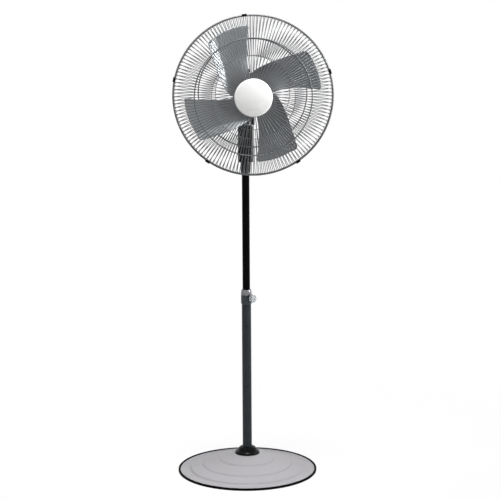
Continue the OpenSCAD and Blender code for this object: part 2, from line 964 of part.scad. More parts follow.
module gear_cover() {
  color("black")
    difference() {
      case_blocks([case_y[1], case_y[1] + case_lid], 0);
      for (at = post_at) to_rear(at[0], at[1]) pillar(m3_r, case_y[1] - 1, case_y[1] + case_lid + 1);
    }
}

// ---------- guard ----------
module wire(path, ring_r, last_r) {
  angles = concat([for (i = [0 : bend_steps - 1]) path[2] * i / bend_steps],
                  [path[2]],
                  [for (r = ring_r) if (r > last_r) dome_angle(path, r)],
                  [dome_angle(path, last_r)]);
  up = concat([[wire_r0 + wire_d / 2, gap]], [for (a = angles) wire_point(path, a, wire_d / 2)]);
  down = concat([[wire_r0 - wire_d / 2, gap]], [for (a = angles) wire_point(path, a, -wire_d / 2)]);
  rotate([90, 0, 0])
    linear_extrude(height = wire_d, center = true)
      polygon(concat(up, [for (i = [len(down) - 1 : -1 : 0]) down[i]]));
}

module ring(r, z, d) {
  translate([0, 0, z])
    rotate_extrude($fn = 96)
      translate([r - d / 2, -d / 2])
        square(d);
}

module grille(path, rings, turn) {
  for (i = [0 : wires - 1])
    rotate([0, 0, turn + 360 * i / wires])
      wire(path, rings, i % 2 == 0 ? path[3] : rings[1] - in_d);
  ring(guard_d / 2 - rim_d / 2, rim_off, rim_d);
  ring(rings[0], dome_height(path, rings[0]) + wire_d / 2 + mid_d / 2 - weld, mid_d);
  ring(rings[1], dome_height(path, rings[1]) - wire_d / 2 - in_d / 2 + weld, in_d);
}

module front_guard() {
  z1 = path_top(front_path) - wire_d / 2 + weld;
  color("gray")
    on_guard() {
      grille(front_path, front_rings, 0);
      difference() {
        pillar(front_plate_r, z1 - plate_t, z1);
        around(3, cap_screw_r, 90) pillar(m3_r, z1 - plate_t - 1, z1 + 1);
      }
    }
}

module rear_guard() {
  top = guard_f - rear_plate_f;
  color("gray")
    on_guard()
      mirror([0, 0, 1]) {
        grille(rear_path, rear_rings, 180 / wires);
        difference() {
          pillar(rear_plate_r, top - plate_t, top);
          pillar(rear_hole_r, top - plate_t - 1, top + 1);
          guard_screws_at() pillar(m5_r, top - plate_t - 1, top + 1);
        }
      }
}

module guard_clips() {
  r0 = wire_r0 + wire_d / 2 + 0.4;
  r1 = guard_d / 2 + 0.4;
  r2 = r1 + clip_t;
  lip = rim_off + rim_d / 2 + 0.15;
  turn = clip_w / r2 * 180 / PI;
  color("black")
    on_guard()
      for (a = clip_at)
        rotate([0, 0, a - turn / 2])
          rotate_extrude(angle = turn, $fn = 96)
            polygon([[r0, -clip_half], [r2, -clip_half], [r2, clip_half], [r0, clip_half], [r0, lip],
                     [r1, lip], [r1, -lip], [r0, -lip]]);
}

module front_cap() {
  turns = 6;
  bend = 6;
  crown = cap_crown - bend;
  flat = cap_r - bend;
  function top_z(r) = cap_z + cap_crown - (crown - 2) * pow(r / flat, 2);
  outer = concat([for (i = [0 : 7]) let (r = flat * i / 7) [r, top_z(r)]],
                 [for (i = [1 : turns]) let (a = 90 - 90 * i / turns)
                   [flat + bend * cos(a), top_z(flat) - bend + bend * sin(a)]],
                 [[cap_r, cap_z]]);
  inner = concat([for (i = [0 : 7]) let (r = flat * i / 7) [r, top_z(r) - cap_t]],
                 [for (i = [1 : turns]) let (a = 90 - 90 * i / turns)
                   [flat + (bend - cap_t) * cos(a), top_z(flat) - bend + (bend - cap_t) * sin(a)]],
                 [[cap_r - cap_t, cap_z]]);
  color("white")
    on_guard()
      difference() {
        union() {
          rotate_extrude($fn = 96)
            polygon(concat(outer, [for (i = [len(inner) - 1 : -1 : 0]) inner[i]]));
          around(3, cap_screw_r, 90) pillar(3.5, cap_z - 1, cap_z + crown + 3.2);
        }
        around(3, cap_screw_r, 90) pillar(m3_r, cap_z - 2, cap_z + crown - 1);
      }
}

module cap_screws() {
  z0 = path_top(front_path) - wire_d / 2 + weld - plate_t;
  color("silver")
    on_guard()
      around(3, cap_screw_r, 90)
        translate([0, 0, z0]) screw(m3_r, 2.8, 1.8, cap_z + cap_crown - 8.5 - z0);
}

// ---------- rotor ----------
module motor_shaft() {
  worm_f = -clutch_y - worm_len / 2;
  color("silver")
    on_motor() {
      pillar(shaft_r, worm_f + worm_len - 1, rotor_f + hub_front - 2);
      translate([0, 0, worm_f])
        rotate([0, 0, 180 * worm_len / worm_pitch])
          linear_extrude(height = worm_len, twist = 360 * worm_len / worm_pitch,
                         slices = round(10 * worm_len / worm_pitch), $fn = 10)
            translate([worm_off, 0])
              circle(r = worm_r, $fn = 10);
    }
}

module rotor_core() {
  end_ring = 4;
  color("gray")
    on_motor() {
      pipe(bore_r - 0.4, shaft_r, core_f[0], core_f[1]);
      pipe(bore_r - 2.3, 14, core_f[0] - end_ring, core_f[0] + eps);
      pipe(bore_r - 2.3, 14, core_f[1] - eps, core_f[1] + end_ring);
    }
}

module rivet_sites() {
  for (k = [0 : blades - 1], a = rivet_at)
    rotate([0, 0, 90 * k + a]) translate([rivet_ring, 0, 0]) children();
}

module blade_hub() {
  grub_f = -15;
  color("gray")
    on_rotor()
      difference() {
        union() {
          pillar(hub_r, -hub_back, hub_front);
          pillar(spider_r, -spider_t / 2, spider_t / 2);
        }
        pillar(shaft_r, -hub_back - 1, hub_front + 1);
        translate([0, 0, grub_f]) rotate([0, 90, 0]) cylinder(r = m5_r, h = hub_r + 1);
        rivet_sites() pillar(rivet_r, -spider_t, spider_t);
      }
}

module hub_screw() {
  grub_f = -15;
  color("silver")
    on_rotor() translate([0, 0, grub_f]) rotate([0, 90, 0]) pillar(m5_r, shaft_r, hub_r + 1.5);
}

function corner_cut(d, r) = d < r ? r - sqrt(r * r - (r - d) * (r - d)) : 0;
function lead_angle(r) =
  asin((19.3 - 9.3 * pow((r - 145) / 80, 2)) / r) + corner_cut(tip_r - r, corner_lead) / r * 180 / PI;
function tail_angle(r) =
  min(14.85 + 5714 / r, tail_limit) - corner_cut(tip_r - r, corner_tail) / r * 180 / PI;
function fold_angle(r) = min(15.2 + 4142 / r, tail_angle(r) - 1);
function col_angle(r, c) =
  c <= web_cols
    ? mix(lead_angle(r), fold_angle(r), c / web_cols)
    : mix(fold_angle(r), tail_angle(r), (c - web_cols) / flap_cols);
function col_height(c) =
  c <= web_cols
    ? let (s = c / web_cols) mix(-blade_fall, fold_rise, s) - 4 * camber * s * (1 - s)
    : mix(fold_rise, blade_rise, (c - web_cols) / flap_cols);
function blade_point(r, c, side) =
  let (a = col_angle(r, c), root = (spider_t + blade_t) / 2,
       w = mix(root, col_height(c), smooth((r - flat_r) / (full_r - flat_r))))
  [r * cos(a), r * sin(a), w + side * blade_t / 2];

module blade(k) {
  cols = web_cols + flap_cols + 1;
  rows = len(blade_rows);
  count = rows * cols;
  function at(i, j, side) = (side > 0 ? 0 : count) + i * cols + j;
  points = [for (side = [1, -1], r = blade_rows, c = [0 : cols - 1]) blade_point(r, c, side)];
  front = [for (i = [0 : rows - 2], j = [0 : cols - 2], half = [0, 1])
    half == 0 ? [at(i, j, 1), at(i, j + 1, 1), at(i + 1, j, 1)]
              : [at(i, j + 1, 1), at(i + 1, j + 1, 1), at(i + 1, j, 1)]];
  back = [for (f = front) [f[2] + count, f[1] + count, f[0] + count]];
  ends = [for (i = [0, rows - 1], j = [0 : cols - 2])
    let (q = [at(i, j, 1), at(i, j, -1), at(i, j + 1, -1), at(i, j + 1, 1)])
    i == 0 ? q : [q[3], q[2], q[1], q[0]]];
  sides = [for (j = [0, cols - 1], i = [0 : rows - 2])
    let (q = [at(i, j, 1), at(i + 1, j, 1), at(i + 1, j, -1), at(i, j, -1)])
    j == 0 ? q : [q[3], q[2], q[1], q[0]]];
  split_sides = [for (q = concat(ends, sides), half = [0, 1])
    half == 0 ? [q[0], q[1], q[2]] : [q[0], q[2], q[3]]];
  color("darkgray")
    on_rotor()
      rotate([0, 0, 90 * k])
        difference() {
          polyhedron(points = points, faces = concat(front, back, split_sides));
          for (a = rivet_at) rotate([0, 0, a]) translate([rivet_ring, 0, 0]) pillar(rivet_r, 0, 2 * spider_t);
        }
}

module blade_1() { blade(0); }
module blade_2() { blade(1); }
module blade_3() { blade(2); }
module blade_4() { blade(3); }

module blade_rivets() {
  head_r = 4.2;
  head_h = 1.4;
  low = -spider_t / 2;
  high = spider_t / 2 + blade_t;
  color("silver")
    on_rotor()
      rivet_sites() {
        pillar(rivet_r, low - eps, high + eps);
        pillar(head_r, low - head_h, low);
        pillar(head_r, high, high + head_h);
      }
}

// ---------- gear train ----------
module worm_wheel() {
  pitch = wheel_teeth / 2;
  color("white")
    translate([clutch_x, clutch_y, motor_z - wheel_t / 2])
      difference() {
        gear(wheel_teeth, pitch - 1.2, pitch, pitch + 0.8, 0.9, 0.35, wheel_t);
        pillar(clutch_r + run, -1, wheel_t + 1);
      }
}

module clutch_shaft() {
  pitch = gear_m * pinion_teeth / 2;
  wheel_z = motor_z - wheel_t / 2;
  color("silver")
    translate([clutch_x, clutch_y, 0])
      difference() {
        union() {
          pillar(clutch_r, clutch_z[0], low_z[0] + case_floor + gap);
          pillar(pitch - 0.95, low_z[0] + case_floor, crank_gear_z + 8);
          pillar(clutch_r, crank_gear_z + 7.5, clutch_z[1]);
          pillar(5.5, wheel_z - 3, wheel_z - gap);
          translate([0, 0, crank_gear_z + 0.5])
            rotate([0, 0, crank_a + 180 / pinion_teeth])
              gear(pinion_teeth, pitch - 0.95, pitch, pitch + 0.6, 0.95, 0.4, crank_gear_t + 1);
        }
        pillar(clutch_pin_r + slip, clutch_z[1] - clutch_pin_len - clutch_stroke - 1, clutch_z[1] + 1);
      }
}

module clutch_knob() {
  stem_r = 3.25;
  lift = 7;
  color("black")
    translate([clutch_x, clutch_y, 0]) {
      pillar(clutch_pin_r, clutch_z[1] - clutch_pin_len, clutch_z[1] + lift + 1);
      pillar(stem_r, clutch_z[1] + lift, clutch_z[1] + lift + 16);
      pillar(5, clutch_z[1] + lift + 15, clutch_z[1] + lift + 25);
      translate([0, 0, clutch_z[1] + lift + 25]) cylinder(r1 = 5, r2 = 3.8, h = 1.2);
    }
}

module crank() {
  pitch = gear_m * crank_teeth / 2;
  head_r = 3.8;
  color("white")
    translate([crank_x, crank_y, 0]) {
      translate([0, 0, crank_gear_z])
        rotate([0, 0, crank_a + 180])
          gear(crank_teeth, pitch - 1, pitch, pitch + 0.6, 1, 0.45, crank_gear_t);
      pillar(6, low_z[0] + case_floor + gap, crank_gear_z + eps);
      pillar(clutch_r, crank_disc_z[0], crank_gear_z + crank_gear_t + 7);
      pillar(crank_disc_r, crank_disc_z[0], crank_disc_z[1]);
      rotate([0, 0, crank_pin_a])
        translate([crank_throw, 0, 0]) {
          pillar(pin_r, link_z - 2, crank_disc_z[0] + eps);
          pillar(head_r, link_z + link_t + gap, crank_disc_z[0] + eps);
          pillar(head_r, link_z - 2, link_z - gap);
        }
    }
}

module link_arm() {
  start = [crank_x + crank_throw * cos(crank_pin_a), crank_y + crank_throw * sin(crank_pin_a), link_z];
  eye = pin_r + link_slack;
  color("silver")
    translate(start)
      rotate([0, 0, link_a])
        difference() {
          union() {
            block([0, link_len], [-link_w / 2, link_w / 2], [0, link_t]);
            pillar(6, 0, link_t);
            translate([link_len, 0, 0]) pillar(eye + 2.8, 0, link_t);
          }
          pillar(pin_r + run, -1, link_t + 1);
          translate([link_len, 0, 0]) pillar(eye, -1, link_t + 1);
        }
}

// ---------- drawing ----------
base_cover();
base_weight();
base_trim();
base_bolts();
base_nuts();
pole_flange();
base_collar();
lower_tube();
tube_bush();
clamp_collar();
collar_ferrule();
height_knob();
height_screw();
upper_tube();
tube_end_plug();
neck_socket();
box_body();
box_cover();
box_screws();
dial_plate();
speed_switch();
run_capacitor();
cord_gland();
neck_fork();
fork_screws();
tilt_bolt();
speed_knob();
switch_shaft();
tilt_knob();
pivot_bracket();
pivot_shaft();
motor_carrier();
head_screws();
motor_front_shell();
motor_rear_shell();
motor_screws();
stator_core();
stator_windings();
shaft_bushes();
gear_case();
gear_cover();
rear_guard();
front_guard();
guard_clips();
front_cap();
cap_screws();
motor_shaft();
rotor_core();
blade_hub();
hub_screw();
blade_1();
blade_2();
blade_3();
blade_4();
blade_rivets();
worm_wheel();
clutch_shaft();
clutch_knob();
crank();
link_arm();
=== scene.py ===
# %% [markdown]
# # A pedestal fan
# The steel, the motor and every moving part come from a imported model, loaded here as a fixed
# frame. This script gives each of them its finish, and rebuilds the parts whose look depends on
# round wire, rolled edges or a smooth sheet: the two guard halves, the blades, the pressed base.
# The frame comes first, because every size below is read from it or shares its numbers. Blender's
# unit is the metre, so sizes written in millimetres are multiplied by MM.

# %% Load the frame
import json
import math

import bmesh
import bpy
from mathutils import Matrix, Vector


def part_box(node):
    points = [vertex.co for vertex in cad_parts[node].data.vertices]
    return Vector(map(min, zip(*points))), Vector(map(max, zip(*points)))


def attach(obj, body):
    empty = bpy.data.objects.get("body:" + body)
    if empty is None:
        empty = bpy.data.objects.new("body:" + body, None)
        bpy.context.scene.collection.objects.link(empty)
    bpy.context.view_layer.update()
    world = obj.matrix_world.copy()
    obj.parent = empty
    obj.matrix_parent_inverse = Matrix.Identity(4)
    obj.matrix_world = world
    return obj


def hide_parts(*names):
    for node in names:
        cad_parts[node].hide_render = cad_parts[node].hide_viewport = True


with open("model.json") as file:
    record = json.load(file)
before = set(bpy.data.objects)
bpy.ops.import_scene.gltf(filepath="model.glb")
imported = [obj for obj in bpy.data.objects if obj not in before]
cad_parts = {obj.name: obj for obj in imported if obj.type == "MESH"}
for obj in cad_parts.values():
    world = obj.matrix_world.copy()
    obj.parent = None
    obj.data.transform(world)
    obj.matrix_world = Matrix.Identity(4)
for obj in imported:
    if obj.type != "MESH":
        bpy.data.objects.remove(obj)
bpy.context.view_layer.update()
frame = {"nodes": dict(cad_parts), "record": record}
nodes = frame["nodes"]
MM = 0.001
SHAFT_X, SHAFT_Z = 24 * MM, 1305 * MM

# %% [markdown]
# In Blender a mesh, a lamp or a camera only shows once an object holds it and a collection holds
# the object. Node trees have a routine of their own: add a node, set its sockets, link it on.
# These helpers take over both routines, so that each line further down adds one thing. A socket
# passed in place of a value is linked instead of copied, and an underscore in a keyword stands
# for the space in a socket's name.

# %% Helpers for objects and nodes
def show(name, data):
    obj = bpy.data.objects.new(name, data)
    bpy.context.scene.collection.objects.link(obj)
    return obj


def plug(tree, socket, value):
    if isinstance(value, bpy.types.NodeSocket):
        tree.links.new(value, socket)
    else:
        socket.default_value = value


def fill(tree, node, **sockets):
    for name, value in sockets.items():
        plug(tree, node.inputs[name.replace("_", " ")], value)
    return node


def add(tree, kind, **sockets):
    return fill(tree, tree.nodes.new(kind), **sockets)


def maths(tree, operation, *values, kind="ShaderNodeMath"):
    made = tree.nodes.new(kind)
    made.operation = operation
    for socket, value in zip(made.inputs, values):
        plug(tree, socket, value)
    return made


def vector_maths(tree, operation, *values):
    return maths(tree, operation, *values, kind="ShaderNodeVectorMath")


print("helpers ready")

# %% [markdown]
# Paint, moulded plastic and drawn metal all have a fine unevenness. It could be an image, but a
# noise has no seams and stays sharp close up. The group is built once and placed in every finish
# with its own size, and with a stretch for metal that was drawn or turned in one direction.

# %% Shader group: fine grain
def new_group(name, inputs, outputs):
    group = bpy.data.node_groups.new(name, "ShaderNodeTree")
    for label, kind, value in inputs:
        socket = group.interface.new_socket(name=label, in_out="INPUT", socket_type=kind)
        socket.default_value = value
    for label, kind in outputs:
        group.interface.new_socket(name=label, in_out="OUTPUT", socket_type=kind)
    return group, group.nodes.new("NodeGroupInput"), group.nodes.new("NodeGroupOutput")


def build_grain():
    group, gin, gout = new_group(
        "fine_grain",
        [("Size", "NodeSocketFloat", 900.0), ("Stretch", "NodeSocketVector", (1, 1, 1))],
        [("Height", "NodeSocketFloat")])
    coords = group.nodes.new("ShaderNodeTexCoord")
    scaled = vector_maths(group, "MULTIPLY", coords.outputs["Object"], gin.outputs["Stretch"])
    noise = add(group, "ShaderNodeTexNoise", Vector=scaled.outputs[0], Scale=gin.outputs["Size"],
                Detail=3.0, Roughness=0.55)
    plug(group, gout.inputs["Height"], noise.outputs["Fac"])
    return group


GRAIN = build_grain()
print("group:", GRAIN.name)

# %% [markdown]
# Hands and dust leave a slow, cloudy change on everything that stands in a room. One cloud mixes
# a little dust into the colour and swings the roughness about its middle value. Both read the
# same noise, because a dusty spot is also a duller one. The Mix node holds the sockets of every
# data type in one list, so its colours are picked by number.

# %% Shader group: handling
MIX_A, MIX_B, MIXED = 6, 7, 2


def build_handling():
    group, gin, gout = new_group(
        "handling",
        [("Color", "NodeSocketColor", (0.5, 0.5, 0.5, 1)),
         ("Dust", "NodeSocketColor", (0.5, 0.48, 0.45, 1)),
         ("Amount", "NodeSocketFloat", 0.1), ("Roughness", "NodeSocketFloat", 0.4),
         ("Spread", "NodeSocketFloat", 0.08), ("Size", "NodeSocketFloat", 22.0)],
        [("Color", "NodeSocketColor"), ("Roughness", "NodeSocketFloat")])
    coords = group.nodes.new("ShaderNodeTexCoord")
    cloud = add(group, "ShaderNodeTexNoise", Vector=coords.outputs["Object"],
                Scale=gin.outputs["Size"], Detail=5.0, Roughness=0.6)
    mask = add(group, "ShaderNodeMapRange", Value=cloud.outputs["Fac"], From_Min=0.4, From_Max=0.75)
    share = maths(group, "MULTIPLY", mask.outputs["Result"], gin.outputs["Amount"])
    mixed = group.nodes.new("ShaderNodeMix")
    mixed.data_type = "RGBA"
    plug(group, mixed.inputs["Factor"], share.outputs[0])
    plug(group, mixed.inputs[MIX_A], gin.outputs["Color"])
    plug(group, mixed.inputs[MIX_B], gin.outputs["Dust"])
    low = maths(group, "SUBTRACT", gin.outputs["Roughness"], gin.outputs["Spread"])
    high = maths(group, "ADD", gin.outputs["Roughness"], gin.outputs["Spread"])
    rough = add(group, "ShaderNodeMapRange", Value=cloud.outputs["Fac"], From_Min=0.3, From_Max=0.7,
                To_Min=low.outputs[0], To_Max=high.outputs[0])
    fill(group, gout, Color=mixed.outputs[MIXED], Roughness=rough.outputs["Result"])
    return group


HANDLING = build_handling()
print("group:", HANDLING.name)

# %% [markdown]
# One function lays out a finish: the handling group drives colour and roughness, the grain group
# drives a bump. What stays the same over a surface, such as how metallic it is, is set on the
# shader itself. Each finish is kept under its name, so that pieces can ask for it.

# %% Finish function
FINISH = {}
COAT_ROUGH = 0.08


def place_group(tree, group, **sockets):
    made = tree.nodes.new("ShaderNodeGroup")
    made.node_tree = group
    return fill(tree, made, **sockets)


def finish(name, color, rough, metal=0.0, spread=0.06, dust=0.06, grain=900, bump=0.05,
           depth=0.04 * MM, stretch=(1, 1, 1), coat=0.0, dust_color=(0.42, 0.41, 0.39),
           cloud=22.0, gloss=0.5):
    mat = bpy.data.materials.new(name)
    mat.use_nodes = True
    tree = mat.node_tree
    hand = place_group(tree, HANDLING, Color=(*color, 1.0), Dust=(*dust_color, 1.0), Amount=dust,
                       Roughness=rough, Spread=spread, Size=cloud)
    skin = place_group(tree, GRAIN, Size=grain, Stretch=stretch)
    relief = add(tree, "ShaderNodeBump", Strength=bump, Distance=depth, Height=skin.outputs["Height"])
    fill(tree, tree.nodes["Principled BSDF"],
         Base_Color=hand.outputs["Color"], Roughness=hand.outputs["Roughness"],
         Normal=relief.outputs["Normal"], Metallic=metal, Coat_Weight=coat,
         Coat_Roughness=COAT_ROUGH, Specular_IOR_Level=gloss)
    mat.diffuse_color = (*color, 1.0)
    FINISH[name] = mat


print("finish() ready")

# %% [markdown]
# Most of what shows is painted or enamelled steel. Spray paint on the base is dull with a fine
# orange peel, the guard's coating is thin and smooth, and the pole and bell are baked enamel that
# mirrors the room. The gloss is kept low on the blacks, because in a white room a full mirror
# would turn them grey.

# %% Finishes: paint and enamel
finish("silver_paint", (0.38, 0.371, 0.389), rough=0.6, spread=0.05, dust=0.05,
       grain=1400, bump=0.12, gloss=0.15)
finish("guard_wire", (0.12, 0.124, 0.132), rough=0.34, metal=0.2, dust=0.03,
       grain=700, bump=0.06, gloss=0.25)
finish("painted_steel_black", (0.01, 0.011, 0.013), rough=0.38, metal=0.1, spread=0.07, dust=0.05,
       grain=1300, bump=0.2, gloss=0.15)
finish("charcoal_tube", (0.022, 0.026, 0.032), rough=0.3, metal=0.25, spread=0.05, dust=0.03,
       grain=1600, bump=0.12, gloss=0.15)
finish("black_tube", (0.001, 0.001, 0.0012), rough=0.12, spread=0.03, dust=0.004,
       grain=500, bump=0.02, gloss=0.03)
finish("black_gloss", (0.001, 0.001, 0.0012), rough=0.1, spread=0.03, dust=0.005,
       grain=600, bump=0.02, gloss=0.09)
finish("collar_slate", (0.034, 0.04, 0.048), rough=0.26, metal=0.1, spread=0.05, dust=0.03,
       bump=0.06, gloss=0.3)
print("paint and enamel:", len(FINISH))

# %% [markdown]
# The moulded parts are rubber and plastic: the base's soft trim, the black control box and neck,
# the grey knob, the white cap and a few nylon parts inside. They differ in roughness and in how
# coarse the mould's texture is. Only the knob looks a little metallic, as if it had silver powder
# in its plastic, and only the cap has a thin clear coat.

# %% Finishes: rubber and plastics
finish("trim_rubber", (0.0015, 0.0015, 0.0018), rough=0.6, spread=0.08, dust=0.01,
       grain=700, bump=0.2, gloss=0.02)
finish("black_matte", (0.008, 0.008, 0.009), rough=0.42, dust=0.04, grain=1500, bump=0.25,
       gloss=0.15)
finish("knob_grey", (0.4, 0.42, 0.44), rough=0.34, metal=0.1, spread=0.05, bump=0.06, gloss=0.4)
finish("cap_white", (0.8, 0.8, 0.79), rough=0.26, spread=0.05, dust=0.04, bump=0.03,
       coat=0.3, dust_color=(0.6, 0.59, 0.56))
finish("nylon", (0.66, 0.64, 0.58), rough=0.5, dust=0.1, grain=700, bump=0.1)
finish("film_case", (0.6, 0.6, 0.57), rough=0.35, spread=0.05, dust=0.08, bump=0.08)
finish("switch_case", (0.62, 0.56, 0.42), rough=0.45, spread=0.05, dust=0.1, bump=0.1)
print("with rubber and plastics:", len(FINISH))

# %% [markdown]
# Bare metal keeps the marks of how it was made. Castings are rough and dark, plated fasteners are
# bright, and a ground shaft, a brushed dial, a stack of core sheets and wound copper have grain
# that runs one way, which the stretch gives. The blades are a dull sheet with wide, faint clouds.

# %% Finishes: bare metal
finish("cast_weight", (0.03, 0.03, 0.033), rough=0.75, metal=0.5, spread=0.1, dust=0.2,
       grain=260, bump=0.6, depth=0.4 * MM, gloss=0.2)
finish("die_cast", (0.05, 0.052, 0.056), rough=0.48, metal=0.6, spread=0.08, dust=0.08,
       grain=420, bump=0.3, depth=0.1 * MM, gloss=0.3)
finish("zinc_steel", (0.42, 0.43, 0.45), rough=0.3, metal=1.0, spread=0.08, dust=0.08,
       grain=500, bump=0.08)
finish("bright_collar", (0.2, 0.2, 0.215), rough=0.3, metal=0.6, dust=0.04, gloss=0.3)
finish("ground_steel", (0.5, 0.5, 0.52), rough=0.24, metal=1.0, dust=0.05,
       grain=300, bump=0.1, stretch=(1, 0.15, 1))
finish("core_steel", (0.2, 0.2, 0.21), rough=0.45, metal=0.9, spread=0.08, dust=0.1,
       grain=300, bump=0.4, stretch=(0.2, 6, 0.2))
finish("copper_wire", (0.5, 0.17, 0.06), rough=0.35, metal=0.7, spread=0.08, dust=0.1,
       grain=500, bump=0.5, stretch=(2, 0.3, 2))
finish("bronze", (0.4, 0.24, 0.09), rough=0.42, metal=0.9, spread=0.08, dust=0.1,
       grain=600, bump=0.2)
finish("dial_metal", (0.55, 0.55, 0.56), rough=0.34, metal=0.8, spread=0.05, dust=0.04,
       grain=300, bump=0.15, stretch=(6, 1, 0.2))
finish("blade_metal", (0.226, 0.238, 0.247), rough=0.41, metal=0.55, spread=0.05, dust=0.04,
       grain=500, bump=0.08, cloud=9.0, gloss=0.12)
print("with bare metal:", len(FINISH))

# %% [markdown]
# Towards the shaft the blades' colour is darkened: this is painted shade over the inner part of each
# blade. The effect depends only on the distance from the shaft's axis. Object coordinates give that
# distance, because each piece's object sits at the origin and the axis runs along Y.

# %% Painted shade on the blades
ACROSS_SHAFT = (1, 0, 1)


# Painted shade: scales a finish's colour down towards the shaft's axis.
def tarnish(mat, near, far, dark):
    tree = mat.node_tree
    shader = tree.nodes["Principled BSDF"]
    unshaded_color = shader.inputs["Base Color"].links[0].from_socket
    coords = tree.nodes.new("ShaderNodeTexCoord")
    away = vector_maths(tree, "SUBTRACT", coords.outputs["Object"], (SHAFT_X, 0, SHAFT_Z))
    flat = vector_maths(tree, "MULTIPLY", away.outputs[0], ACROSS_SHAFT)
    reach = vector_maths(tree, "LENGTH", flat.outputs[0])
    shade = add(tree, "ShaderNodeMapRange", Value=reach.outputs["Value"], From_Min=near,
                From_Max=far, To_Min=dark, To_Max=1.0)
    shaded = vector_maths(tree, "SCALE", unshaded_color)
    fill(tree, shaded, Scale=shade.outputs["Result"])
    plug(tree, shader.inputs["Base Color"], shaded.outputs[0])


# Painted shade: the blade colour falls to 0.6 of itself near the hub.
tarnish(FINISH["blade_metal"], near=60 * MM, far=200 * MM, dark=0.6)
print("hub_shade_painted_on:", FINISH["blade_metal"].name)

# %% [markdown]
# The frame's record names a material slot for each node, and the finishes have the same names.
# The clamp collar is the one exception: its slot is the bell's black enamel, but the real
# collar is a shade lighter, so it gets slate.

# %% Dress the frame's nodes
slot_of = {p["node"]: p["material_slot"] for p in frame["record"]["subparts"]}
for name, obj in nodes.items():
    obj.data.materials.clear()
    obj.data.materials.append(FINISH[slot_of[name]])
nodes["clamp_collar"].data.materials[0] = FINISH["collar_slate"]
print("finishes:", len(FINISH), "on", len(slot_of), "nodes")

# %% [markdown]
# The camera stands 6 m back and a little above the head, looking down by eleven degrees, through
# a long lens. That keeps the guard nearly round and lets the base show as a flat ellipse. The
# Standard view shows each colour as it is written.

# %% Camera
CAMERA_H, CAMERA_BACK = 1.930, 6.064
TURN, PITCH, ROLL = math.radians(-0.89), math.radians(10.83), math.radians(0.37)
SENSOR, LENS, SHIFT, FAR = 36.0, 131.904, 0.00788, 100.0
cam_data = bpy.data.cameras.new("camera")
cam_data.sensor_width = SENSOR
cam_data.lens = LENS
cam_data.clip_end = FAR
cam_data.shift_x = SHIFT
camera = show("camera", cam_data)
camera.matrix_world = (
    Matrix.Translation((CAMERA_BACK * math.sin(TURN), -CAMERA_BACK * math.cos(TURN), CAMERA_H))
    @ Matrix.Rotation(TURN, 4, "Z")
    @ Matrix.Rotation(math.pi / 2 - PITCH, 4, "X")
    @ Matrix.Rotation(-ROLL, 4, "Z"))
bpy.context.scene.camera = camera
bpy.context.scene.view_settings.view_transform = "Standard"
print("lens:", round(cam_data.lens, 2), "mm")

# %% [markdown]
# The room is a dim, even grey, so that the fan keeps the colours it is given. It turns white only
# for the camera and for reflections, because such a fan is shown on white and its enamel mirrors
# what is round it. The Light Path node tells which kind of ray is asking.

# %% Room
def grey(v):
    return (v, v, v, 1.0)


def any_ray(tree, *kinds):
    seen = tree.nodes.new("ShaderNodeLightPath")
    share = seen.outputs[kinds[0]]
    for kind in kinds[1:]:
        share = maths(tree, "MAXIMUM", share, seen.outputs[kind]).outputs[0]
    return share


def mix_onto(tree, out, share, first, second):
    mixed = tree.nodes.new("ShaderNodeMixShader")
    for socket, value in zip(mixed.inputs, (share, first.outputs[0], second.outputs[0])):
        plug(tree, socket, value)
    plug(tree, out.inputs["Surface"], mixed.outputs[0])


def room():
    world = bpy.data.worlds.new("room")
    bpy.context.scene.world = world
    world.use_nodes = True
    tree = world.node_tree
    tree.nodes.clear()
    out = tree.nodes.new("ShaderNodeOutputWorld")
    soft = add(tree, "ShaderNodeBackground", Color=grey(0.92), Strength=0.28)
    white = add(tree, "ShaderNodeBackground", Color=grey(1.0), Strength=1.0)
    asked = any_ray(tree, "Is Camera Ray", "Is Glossy Ray", "Is Transmission Ray")
    mix_onto(tree, out, asked, soft, white)
    return world


print("room:", room().name)

# %% [markdown]
# The floor is white in the same way, but near the pole it gives up an eighth of that glow and
# shows its own paint instead, so that the base's shadow is kept there. Further out it melts into
# the room.

# %% Floor
FLOOR_HALF = 9.0


def floor_paint():
    mat = bpy.data.materials.new("floor_white")
    mat.use_nodes = True
    tree = mat.node_tree
    tree.nodes.clear()
    out = tree.nodes.new("ShaderNodeOutputMaterial")
    paint = add(tree, "ShaderNodeBsdfDiffuse", Color=grey(0.9))
    glow = add(tree, "ShaderNodeEmission", Color=grey(1.0), Strength=1.0)
    asked = any_ray(tree, "Is Camera Ray", "Is Glossy Ray")
    coords = tree.nodes.new("ShaderNodeTexCoord")
    reach = vector_maths(tree, "LENGTH", coords.outputs["Object"])
    glowing = add(tree, "ShaderNodeMapRange", Value=reach.outputs["Value"], From_Min=0.3,
                  From_Max=1.5, To_Min=0.88, To_Max=1.0)
    share = maths(tree, "MULTIPLY", asked, glowing.outputs["Result"])
    mix_onto(tree, out, share.outputs[0], paint, glow)
    return mat


floor_mesh = bpy.data.meshes.new("floor")
corners = [(x * FLOOR_HALF, y * FLOOR_HALF, 0) for x, y in ((-1, -1), (1, -1), (1, 1), (-1, 1))]
floor_mesh.from_pydata(corners, [], [(0, 1, 2, 3)])
floor_mesh.materials.append(floor_paint())
show("floor", floor_mesh)
print("floor:", 2 * FLOOR_HALF, "m across")

# %% [markdown]
# Five lamps add shape to the room's even light: a soft one over the head and a narrow one at the
# right for the guard and blades, a wide one high above for the base, and two in front that show
# as bright points on black enamel. Each is aimed at a height on the pole.

# %% Lamps
def lamp(name, where, aim_z, size, watts, spread=180):
    data = bpy.data.lights.new(name, "AREA")
    data.shape = "RECTANGLE"
    data.size, data.size_y = size
    data.spread = math.radians(spread)
    data.energy = watts
    obj = show(name, data)
    obj.location = where
    towards = Vector((0, 0, aim_z)) - Vector(where)
    obj.rotation_euler = towards.to_track_quat("-Z", "Y").to_euler()
    return obj


